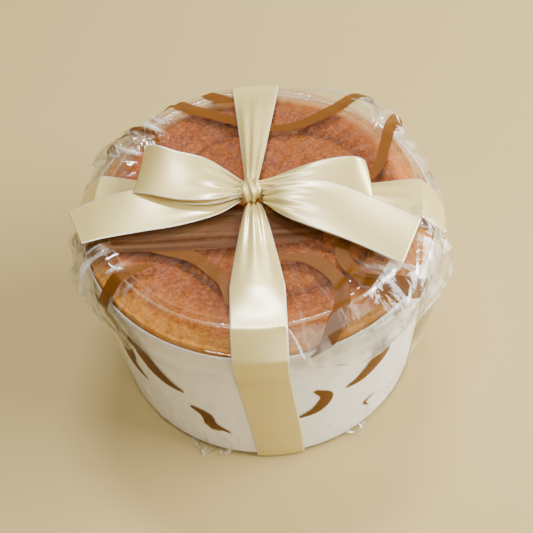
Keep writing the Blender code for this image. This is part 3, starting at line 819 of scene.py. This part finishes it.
def crumple(seed, count, angles, reach, heights, widths, lengths, slant):
    """Many seeded creases in a stretch of the chart; slant is their direction and its spread."""
    chance = np.random.default_rng(seed)
    made = []
    for _ in range(count):
        angle, q = chance.uniform(*angles), chance.uniform(*reach)
        length = chance.uniform(*lengths)
        way = math.radians(chance.normal(*slant))
        step = (math.cos(way) * length / ARC * 0.5, math.sin(way) * length * 0.5)
        width = chance.uniform(*widths)
        even = chance.uniform(0.35, 1.65)
        start, end = (angle - step[0], q - step[1]), (angle + step[0], q + step[1])
        made.append((start, end, chance.uniform(*heights), width * even, width * (2.0 - even)))
    return made


FOLDS = [crease for row in CRUMPLES for crease in crumple(*row)]


def pressed(angle, q):
    """0 under the tied ribbons, which hold the film flat, 1 away from them."""
    free = 1.0
    for middle in BANDS:
        arc = turn_between(angle, middle) * math.pi / 180.0 * np.clip(q, 20.0, 78.0)
        free = free * (1.0 - bell(arc, 12.5) ** 2)
    return free


def looseness(angle, q):
    """How slack the film is at chart places, 0 taut to 1 crumpled: the largest of its loose places,
    and a little more down the side and at the foot."""
    loose = 0.0
    for most, middle, spread, above, below in LOOSE_PLACES:
        place = most * bell(turn_between(angle, middle), spread)
        loose = np.maximum(loose, place * smooth(*above, q) * smooth(*below, q))
    loose = loose + 0.30 * smooth(140.0, 160.0, q) + 0.14 * smooth(76.0, 90.0, q) + 0.01
    return np.clip(loose, 0.0, 1.0) * pressed(angle, q)


def film(angle, q, lift=0.0):
    """Points of the crinkled wrap, a lift above it: the smooth wrap raised by all creases."""
    angle, q = np.broadcast_arrays(np.asarray(angle, float), np.asarray(q, float))
    raised = np.zeros(q.shape)
    for start, end, height, front, back in FOLDS:
        raised = raised + fold(angle, q, start, end, height, front, back)
    flattened = TALLEST_FOLD + (raised - TALLEST_FOLD) * FLATTENING
    raised = np.where(raised > TALLEST_FOLD, flattened, raised)
    raised = raised * pressed(angle, q) * smooth(8.0, 24.0, q)
    return laid(angle, q, raised + lift)


# Cake, tub and lid


def crust_height(x, y):
    """Height of the baked top: a low dome less a bell-shaped crease along a wavy circle, less an
    S-shaped fall at the wavy rim, which is deeper at the back, plus the crags."""
    r = np.hypot(x, y)
    angle = np.arctan2(y, x)
    crease = CREASE_RADIUS + 1.5 * np.sin(3.0 * angle + 0.7)
    away = np.hypot(x - CREASE_MIDDLE[0], y - CREASE_MIDDLE[1]) - crease
    dome = CRUST_DOME * (1.0 - smooth(0.0, DOME_RADIUS, r))
    rim = r + 1.2 * np.sin(5.0 * angle) + 0.8 * np.sin(11.0 * angle + 1.0)
    back = smooth(-20.0, 40.0, y)
    fall = SHOULDER_FALL + BACK_FALL * back
    fall = fall * smooth(SHOULDER_START - BACK_START * back, SHOULDER_FOOT, rim)
    return CAKE_TOP + dome - CREASE_DEPTH * bell(away, 2.2) - fall + crags(x, y)


def crags(x, y):
    """Small lumps of the crust: sums of crossed waves whose phases are bent by longer ones."""
    total = np.zeros(np.shape(x))
    chance = np.random.default_rng(5)
    for size, reach in CRAG_SIZES:
        for _ in range(4):
            way, shift, bend = chance.uniform(0.0, math.tau, 3)
            along = (x * math.cos(way) + y * math.sin(way)) * math.tau / size
            sideways = (y * math.cos(way) - x * math.sin(way)) * math.tau / (size * 1.7)
            total = total + reach * np.sin(along + shift + 1.3 * np.sin(sideways + bend)) * 0.5
    return total


def make_cake():
    """Baked cake, one closed shape: a fine height field over the top, and a side that follows the
    tub's inner face with a low wave round it."""
    outer = tub_radius(RIM_HEIGHT) - CAKE_GAP
    angles = np.linspace(0.0, math.tau, CAKE_STEPS, endpoint=False)
    inner = np.linspace(0.6, outer - 0.3, CAKE_RINGS)[::-1, None]
    x, y = inner * np.cos(angles), inner * np.sin(angles)
    top = np.stack([x, y, crust_height(x, y)], -1)
    height = np.array(CAKE_SIDE)[:, None]
    radius = tub_radius(height) - CAKE_GAP - 0.1 + 0.15 * np.sin(9.0 * angles + height)
    radius = np.minimum(radius, outer)
    side = [radius * np.cos(angles), radius * np.sin(angles), height + 0.0 * radius]
    points = np.concatenate([np.stack(side, -1), top])
    poles = ((0.0, 0.0, CAKE_FOOT), (0.0, 0.0, float(crust_height(0.0, 0.0))))
    made = piece("cake_crust", points, crust_finish(), True, poles)
    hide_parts("cake")


def arc(across, height, size, angles):
    """Points of a profile on a circle round (across, height), its angles measured from level."""
    return [(across + size * math.cos(a), height + size * math.sin(a)) for a in angles]


def make_tub():
    """White tub, a turned profile: base, rounded foot, tapering side, rounded rim, inner wall."""
    foot, rim = TUB_FOOT, RIM_HEIGHT
    bend = np.linspace(0.0, math.pi / 2.0, 7)
    corner = arc(FOOT_RADIUS - TUB_CORNER, foot + TUB_CORNER, TUB_CORNER, bend - math.pi / 2.0)
    side = [(tub_radius(z), z) for z in TUB_HEIGHTS + (rim - 1.0,)]
    lip = arc(TUB_RADIUS - TUB_LIP, rim - TUB_LIP, TUB_LIP, bend * 2.0)
    inside = [(tub_radius(z) - TUB_WALL, z) for z in (rim - 1.4, 60.0, 30.0, foot + 3.0)]
    profile = [(40.0, foot)] + corner + side + lip + inside
    profile += [(FOOT_RADIUS - 4.0, foot + TUB_WALL)]
    poles = ((0.0, 0.0, foot), (0.0, 0.0, foot + TUB_WALL))
    made = piece("tub_wall", turned(profile, 288), tub_finish(), True, poles)
    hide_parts("tub")


def make_lid():
    """Clear lid, a turned profile: panel, raised bead, sloping side, ledge and a skirt whose radius
    waves inwards in fine ribs."""
    panel = LID_TOP - PANEL_DROP
    bead = LID_EDGE - BEAD_WIDTH
    ledge = RIM_HEIGHT + LEDGE_RISE
    bend = np.linspace(0.0, math.pi / 2.0, 6)
    down = math.pi / 2.0 - bend
    profile = [(r, panel) for r in PANEL_RINGS]
    profile += [(bead - 0.8 + 0.8 * a / bend[-1], LID_TOP - PANEL_DROP * math.cos(a)) for a in bend]
    profile += arc(LID_EDGE - BEAD_BEND, LID_TOP - BEAD_BEND, BEAD_BEND, down)
    run = LID_RADIUS - LEDGE_WIDTH - LID_EDGE
    drop = ledge - LID_TOP + BEAD_BEND
    slope = np.linspace(0.15, 1.0, 8)
    profile += [(LID_EDGE + run * s, LID_TOP - BEAD_BEND + drop * s) for s in slope]
    profile += arc(LID_RADIUS - SKIRT_BEND, ledge - SKIRT_BEND, SKIRT_BEND, down)
    profile += [(LID_RADIUS, z) for z in np.linspace(ledge - 2.0, SKIRT_BOTTOM, 8)]
    points = turned(profile, 1080)
    angles = np.arctan2(points[..., 1], points[..., 0])
    depth = RIB_DEPTH * smooth(ledge - 1.2, ledge - 2.6, points[..., 2])
    ribs = depth * (np.cos(angles * RIB_COUNT) - 1.0)
    radius = np.hypot(points[..., 0], points[..., 1])
    points[..., :2] *= ((radius + ribs) / radius)[..., None]
    poles = ((0.0, 0.0, panel), None)
    made = piece("lid_shell", points, lid_finish(), True, poles, flip=True)
    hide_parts("lid")


# Wrap


def make_film():
    """Crinkled clear film: its flat top, and its shoulder and side down to the hem under the base,
    each the chart raised by the creases, then its loose edges, foot tips, painted glints along folds
    and painted reflections on facets."""
    finish = film_finish()
    angles = np.linspace(0.0, math.tau, 600, endpoint=False)[None, :]
    q = np.linspace(2.0, TOP_END, 110)[:, None]
    poles = ((0.0, 0.0, FILM_TOP), None)
    fields = {"loose": looseness(angles, q)}
    top = piece("film_top", film(angles, q), finish, True, poles, flip=True, fields=fields)
    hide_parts("film_wrap")

    angles = np.linspace(0.0, math.tau, 680, endpoint=False)[None, :]
    shoulder = np.linspace(TOP_END, SIDE_START + 30.0, 80)
    q = np.append(shoulder, np.linspace(SIDE_START + 31.0, SIDE_END, 60))
    points = film(angles, q[:, None])
    hem = points[-1:].copy()
    hem[..., :2] *= HEM_SHARE
    hem[..., 2] = FILM_FLOOR
    points = np.concatenate([points, hem])
    fields = {"loose": looseness(angles, np.append(q, SIDE_END)[:, None])}
    piece("film_side", points, finish, True, flip=True, fields=fields)

    for name, shape in FLAPS.items():
        flap(name, finish, *shape)
    for name, shape in FOOT_TIPS.items():
        foot_tip(name, finish, *shape)
    for name, (path, widths) in PAINTED_GLINT_LINES.items():
        # Painted glint: the film's pale colour, strong along each fold line.
        fields = {"loose": 0.0, "rim": 0.8}
        chart_strip("film_line_" + name, path, widths, finish, LINE_LIFT, 3, 60, fields)
    for name, (path, widths) in PAINTED_REFLECTION_FACETS.items():
        # Painted reflection: the film's pale colour over each facet.
        fields = {"loose": 0.5, "rim": 0.6}
        chart_strip("film_facet_" + name, path, widths, finish, FACET_LIFT, 9, 60, fields)


def flap(name, finish, span, reach, lifts, phase):
    """Folded-over edge of the film: a second layer over the first, t down it and a along it. Its cut
    lower edge waves as two sines and stands off by the square of t."""
    a = np.linspace(0.0, 1.0, 150)[None, :]
    t = np.linspace(0.0, 1.0, 60)[:, None]
    cut = reach[1] + 3.0 * np.sin(5.0 * a + phase) + 1.2 * np.sin(13.0 * a + 2.0 * phase)
    cut = reach[0] + (cut - reach[0]) * smooth(0.0, 0.30, a) * smooth(1.0, 0.70, a)
    angle = np.radians(span[0] + (span[1] - span[0]) * a) + 0.0 * t
    q = reach[0] + (cut - reach[0]) * t
    ripple = 0.35 * np.sin(21.0 * a + 3.0 * phase + 4.0 * t) * t
    lift = lifts[0] + (lifts[1] - lifts[0]) * t**2 + ripple
    # Painted highlight along the flap's cut edge.
    rim = smooth(0.965, 0.99, t) * smooth(0.02, 0.3, a) * smooth(0.98, 0.7, a)
    fields = {"loose": np.maximum(looseness(angle, q), 0.35 * t), "rim": rim + 0.0 * angle}
    piece(name, film(angle, q, lift), finish, fields=fields, flip=True)


def foot_tip(name, finish, middle, width, reach):
    """Tip of a folded corner of the wrap at the foot: a wavy triangle that narrows with t and sinks
    in a curve to just over the table."""
    a = np.linspace(-1.0, 1.0, 31)[None, :]
    t = np.linspace(0.0, 0.97, 14)[:, None]
    angle = math.radians(middle) + (a * (1.0 - t) * width * 0.5 + reach * 0.3 * t) / FOOT_RADIUS
    radius = FOOT_RADIUS - 0.6 + reach * t + 0.0 * a
    height = 0.5 + 3.0 * (1.0 - t) ** 1.5 + 0.5 * (1.0 - np.cos(5.0 * a + 6.0 * t)) * t
    points = np.stack([radius * np.cos(angle), radius * np.sin(angle), height], -1)
    # Painted highlight along the tip's edges.
    rim = smooth(0.80, 0.95, np.abs(a)) * smooth(0.05, 0.3, t)
    fields = {"loose": 0.5 + 0.0 * height, "rim": rim + 0.0 * height}
    piece(name, points, finish, fields=fields, flip=True)


def chart_strip(name, path, widths, finish, lift, columns=5, count=90, fields=None):
    """Strip of film or print on the wrap: a smooth curve along a path of (degrees, q), with widths
    in millimetres at its points, widened square to its own direction.

    fields are named numbers, the same all over the strip.
    """
    path = np.asarray(path, float)
    angle = np.unwrap(np.radians(path[:, 0]))
    flat = through(np.column_stack([angle * CHART_RADIUS, path[:, 1], widths]), count)
    step = np.gradient(flat[:, :2], axis=0)
    middle_angle, middle_q = flat[:, 0] / CHART_RADIUS, flat[:, 1]
    radius = chart(middle_angle, middle_q)[0]
    way = np.column_stack([step[:, 0] / CHART_RADIUS * radius, step[:, 1]])
    way = way / np.linalg.norm(way, axis=1)[:, None]
    across = np.linspace(-0.5, 0.5, columns)[None, :] * np.maximum(flat[:, 2:3], 0.05)
    angles = middle_angle[:, None] - across * way[:, 1:2] / radius[:, None]
    q = middle_q[:, None] + across * way[:, 0:1]
    along = np.cumsum(np.linalg.norm(step, axis=1))[:, None] + across * 0.0
    uv = np.stack([along, across], -1)
    fields = {label: np.full(angles.shape, value) for label, value in (fields or {}).items()}
    piece(name, film(angles, q, lift), finish, uv=uv, flip=True, fields=fields)


def make_strokes():
    """Brown brush marks on the film."""
    finish = brush_finish()
    for name, (path, widths) in STROKES.items():
        chart_strip("brush_" + name, path, widths, finish, STROKE_LIFT)


def make_seal():
    """Doubled film of the wrap's seal across the top, in two layers: bands along x with a slow
    wave, pressed into low ridges that die away at the lid's edge."""
    finish = seal_finish()
    for number, (low, high, left, right, lift) in enumerate(SEALS):
        x = np.linspace(left, right, 160)[None, :]
        y = np.linspace(low, high, 40)[:, None]
        x, y = np.broadcast_arrays(x, y + 0.9 * np.sin(x * 0.05))
        angle, q = np.arctan2(y, x), np.hypot(x, y)
        ridges = 0.004 * np.sin(y * 1.7 + 0.8 * np.sin(x * 0.06))
        ridges = ridges * (1.0 - smooth(66.0, 72.0, q))
        points = film(angle, q, lift + ridges)
        uv = np.stack([x, y], -1)
        piece("film_seal_%d" % number, points, finish, uv=uv)


# Ribbons


def gathers(across, pinch, waves, phase):
    """Folds along a pinched ribbon, as a height: waves across it that deepen with the pinch."""
    return pinch * np.cos(math.pi * waves * across + phase)


def ribbon(name, points, stand_for):
    """Satin strip from a grid of points: rows along it, columns across it.

    It gets a UV map in millimetres along and across it and a wall as thick as the satin, and hides the
    part it stands for.
    """
    step = np.linalg.norm(np.diff(points[:, points.shape[1] // 2], axis=0), axis=1)
    length = np.concatenate([[0.0], np.cumsum(step)])[:, None]
    across = np.linspace(-0.5, 0.5, points.shape[1])[None, :] * RIBBON_WIDTH
    uv = np.stack(np.broadcast_arrays(length, across), -1)
    made = piece(name, points, satin, uv=uv)
    wall = made.modifiers.new("wall", "SOLIDIFY")
    wall.thickness = SATIN * MM
    wall.offset = 0.0
    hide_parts(stand_for)


def free_ribbon(name, controls, count, stand_for, folds, arch, held, rests_on):
    """Free ribbon: a smooth curve through controls of (middle x, y, z, direction across x, y, z,
    width), each row straight across but for its arch and its folds.

    folds are (depth, waves, phase): it is gathered wherever it is narrower than the ribbon. arch is
    how far its middle line stands over its edges.
    """
    values = through(controls, count)
    middle = values[:, 0:3]
    side = values[:, 3:6] / np.linalg.norm(values[:, 3:6], axis=1)[:, None]
    ahead = np.gradient(middle, axis=0)
    ahead = ahead / np.linalg.norm(ahead, axis=1)[:, None]
    out = np.cross(ahead, side)
    width = values[:, 6:7]
    across = np.linspace(-1.0, 1.0, 29)[None, :]
    pinch = np.clip(1.0 - width / RIBBON_WIDTH, 0.0, 1.0)
    depth, waves, phase = folds
    lift = gathers(across, depth * pinch, waves, phase) + arch * (1.0 - across**2)
    points = middle[:, None] + (across * width * 0.5)[..., None] * side[:, None]
    points = points + lift[..., None] * out[:, None]
    ribbon(name, points, stand_for)


def tied_half(angle, start, quick, lean):
    """Rows of a tied ribbon from the knot, over the lid's edge and down the side to the foot.

    On the top each row is straight across, as wide as the share of the way allows; past the lid's
    edge the rows lie on the wrap's chart. angle is its direction, start the place of its pinched end
    beside the knot, quick how it widens, lean its slide along the foot.
    """
    columns = np.linspace(-0.5, 0.5, 29)
    along = np.array([math.cos(angle), math.sin(angle)])
    side = np.array([-along[1], along[0]])
    edge = TOP_END - 3.0
    on_film = FILM_TOP + RIBBON_LIFT
    rows = []
    for share in np.linspace(0.0, 1.0, 60)[:-1]:
        middle = (1.0 - share) * np.array(start[:2]) + share * edge * along
        spread = min(1.0, (share / quick[0]) ** quick[1])
        width = PINCHED_WIDTH + (RIBBON_WIDTH - PINCHED_WIDTH) * spread
        flat = middle + np.outer(columns * width, side)
        rise = (start[2] - on_film) * (1.0 - smooth(0.0, 0.40, share))
        pinch = 1.0 - width / RIBBON_WIDTH
        folds = gathers(columns * 2.0, BAND_FOLD * pinch, 3.0, 0.6) + BAND_FOLD * pinch
        arch = BAND_ARCH * (1.0 - smooth(0.70, 1.0, share)) * smooth(0.0, 0.15, share)
        folds = folds + arch * (1.0 - (2.0 * columns) ** 2)
        rows.append(np.column_stack([flat, on_film + rise + folds]))
    offset = columns * RIBBON_WIDTH
    over_edge = np.linspace(edge, SIDE_START + 6.0, 46)
    for q in np.append(over_edge, np.linspace(SIDE_START + 8.0, SIDE_END + 0.6, 50)):
        radius, height = (float(value) for value in chart(angle, q)[:2])
        slide = lean * (1.0 - smooth(0.0, BULGE, height))
        bent = q + (np.hypot(q, offset) - q) * (1.0 - smooth(55.0, 90.0, q))
        turn = np.where(q < TOP_END, np.arctan2(offset, q), offset / radius) + slide / radius
        rows.append(laid(angle + turn, bent, RIBBON_LIFT))
    return rows


def tied_ribbon(name, stand_for, angles, starts, quick, leans, hump):
    """Ribbon tied round the pack: both halves, and a straight run under the base with a hump where
    it crosses the other band."""
    first = tied_half(angles[0], starts[0], quick[0], leans[0])
    last = [row[::-1] for row in tied_half(angles[1], starts[1], quick[1], leans[1])]
    under = []
    for share in np.linspace(0.02, 0.98, 41):
        row = (1.0 - share) * first[-1] + share * last[-1]
        row[:, 2] = UNDER_HEIGHT + hump * (1.0 - smooth(0.10, 0.17, abs(share - 0.5)))
        under.append(row)
    points = np.array(first + under + last[::-1])
    ribbon(name, points[:, ::-1], stand_for)


def make_knot():
    """Knot: a ball squared by a cubic norm, with slanting ribs of a cosine and a waist, stretched
    to the knot's half sizes."""
    u = np.linspace(0.0, math.tau, 144, endpoint=False)[None, :]
    v = np.linspace(0.04, math.pi - 0.04, 72)[:, None]
    x, y, z = np.cos(v), np.sin(v) * np.cos(u), np.sin(v) * np.sin(u)
    square = (np.abs(x) ** 3 + np.abs(y) ** 3 + np.abs(z) ** 3) ** (-1.0 / 3.0)
    slant = x + 0.30 * y
    ridges = 0.09 * np.cos(slant * 9.0 + 0.5 * z) * np.sin(v) ** 0.5
    waist = 0.10 * bell(slant - 0.35, 0.25)
    scale = square * (1.0 + ridges - waist)
    ball = np.stack(np.broadcast_arrays(x * scale, y * scale, z * scale), -1)
    points = ball * np.array(KNOT_HALVES) + KNOT
    uv = np.stack(np.broadcast_arrays(u * 5.0, v * 4.0 - 6.0), -1)
    tips = tuple(KNOT + np.array([s * KNOT_TIP, 0.0, 0.0]) for s in (1.0, -1.0))
    made = piece("knot_wrap", points, satin, True, tips, uv=uv, flip=True)
    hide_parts("bow_knot")


def make_ribbons():
    """Two tied ribbons, loops, tails and the knot."""
    quarter = math.pi / 2.0
    ends = [(KNOT[0] + x, KNOT[1] + y, FILM_TOP + z) for x, y, z in BAND_ENDS]
    tied_ribbon("band_lengthwise", "ribbon_lengthwise", (-quarter, quarter), ends[:2],
                (QUICK, EVEN), (FRONT_LEAN, 0.0), UNDER_CROSSING)
    turns = (CROSSWISE + CROSSWISE_TURNS[0], CROSSWISE + math.pi + CROSSWISE_TURNS[1])
    tied_ribbon("band_crosswise", "ribbon_crosswise", turns, ends[2:],
                (EVEN, EVEN), (0.0, 0.0), 0.0)
    for name, strip in BOW.items():
        free_ribbon(name, *strip)
    make_knot()


# Stage


def make_stage():
    """Plain pale floor, the room's glow, a window on the right and small lights for the gleams."""
    f = Finish("pale floor")
    grain = f.noise(f.place(), 90.0, 4.0)
    inputs = {"Base Color": linear(FLOOR_BEIGE), "Roughness": 0.75}
    inputs["Normal"] = f.bump(grain, 0.0002, 0.2)
    reach = np.linspace(-FLOOR_REACH, FLOOR_REACH, 9)
    x, y = np.meshgrid(reach, reach)
    points = np.stack([x, y, 0.0 * x], -1).reshape(-1, 3) * MM
    mesh = bpy.data.meshes.new("floor")
    mesh.from_pydata(points, [], quads(9, 9, False).tolist())
    mesh.materials.append(f.end(f.solid(inputs)))
    floor = bpy.data.objects.new("floor", mesh)
    bpy.context.scene.collection.objects.link(floor)

    world = bpy.data.worlds.new("soft room")
    world.use_nodes = True
    glow = world.node_tree.nodes["Background"].inputs
    glow["Color"].default_value = linear(ROOM_GLOW)
    glow["Strength"].default_value = ROOM_STRENGTH
    bpy.context.scene.world = world
    for name, light in LIGHTS.items():
        area_light(name, *light)


def area_light(name, around, above, distance, size, power, colour):
    """Rectangular soft light at a direction in degrees from the pack, aimed at it; metres, watts."""
    light = bpy.data.lights.new(name, "AREA")
    light.shape = "RECTANGLE"
    light.size, light.size_y = size
    light.energy = power
    light.color = linear(colour)[:3]
    a, e = math.radians(around), math.radians(above)
    back = np.array([math.cos(e) * math.cos(a), math.cos(e) * math.sin(a), math.sin(e)])
    right = np.array([-math.sin(a), math.cos(a), 0.0])
    up = np.cross(back, right)
    made = bpy.data.objects.new(name, light)
    made.matrix_world = pose(right, up, back, back * distance + np.array([0.0, 0.0, LIGHT_AIM]))
    bpy.context.scene.collection.objects.link(made)


def pose(right, up, back, place):
    """Matrix from three axes and a place in metres."""
    rows = np.column_stack([right, up, back, place])
    return Matrix([list(map(float, row)) for row in rows] + [[0.0, 0.0, 0.0, 1.0]])


def make_camera():
    """Camera fitted to the outlines of lid, mouth and foot: it looks down at the target from its
    height angle, turned round the pack and rolled about its own line of sight."""
    angles = (CAMERA_HEIGHT_ANGLE, CAMERA_TURN, CAMERA_ROLL)
    elevation, turn, roll = (math.radians(angle) for angle in angles)
    c, s = math.cos(turn), math.sin(turn)
    spin = np.array([[c, -s, 0.0], [s, c, 0.0], [0.0, 0.0, 1.0]])
    back = spin @ np.array([0.0, -math.cos(elevation), math.sin(elevation)])
    right = spin @ np.array([1.0, 0.0, 0.0])
    up = np.cross(back, right)
    eye = spin @ np.array(CAMERA_TARGET) + back * CAMERA_DISTANCE
    c, s = math.cos(roll), math.sin(roll)
    data = bpy.data.cameras.new("view")
    data.sensor_width = SENSOR_WIDTH
    data.lens = LENS_SHARE * SENSOR_WIDTH
    data.clip_start = 0.01
    made = bpy.data.objects.new("view", data)
    made.matrix_world = pose(c * right - s * up, s * right + c * up, back, eye * MM)
    bpy.context.scene.collection.objects.link(made)
    bpy.context.scene.camera = made


satin = satin_finish()
make_camera()
make_stage()
make_tub()
make_cake()
make_lid()
make_film()
make_strokes()
make_seal()
make_ribbons()
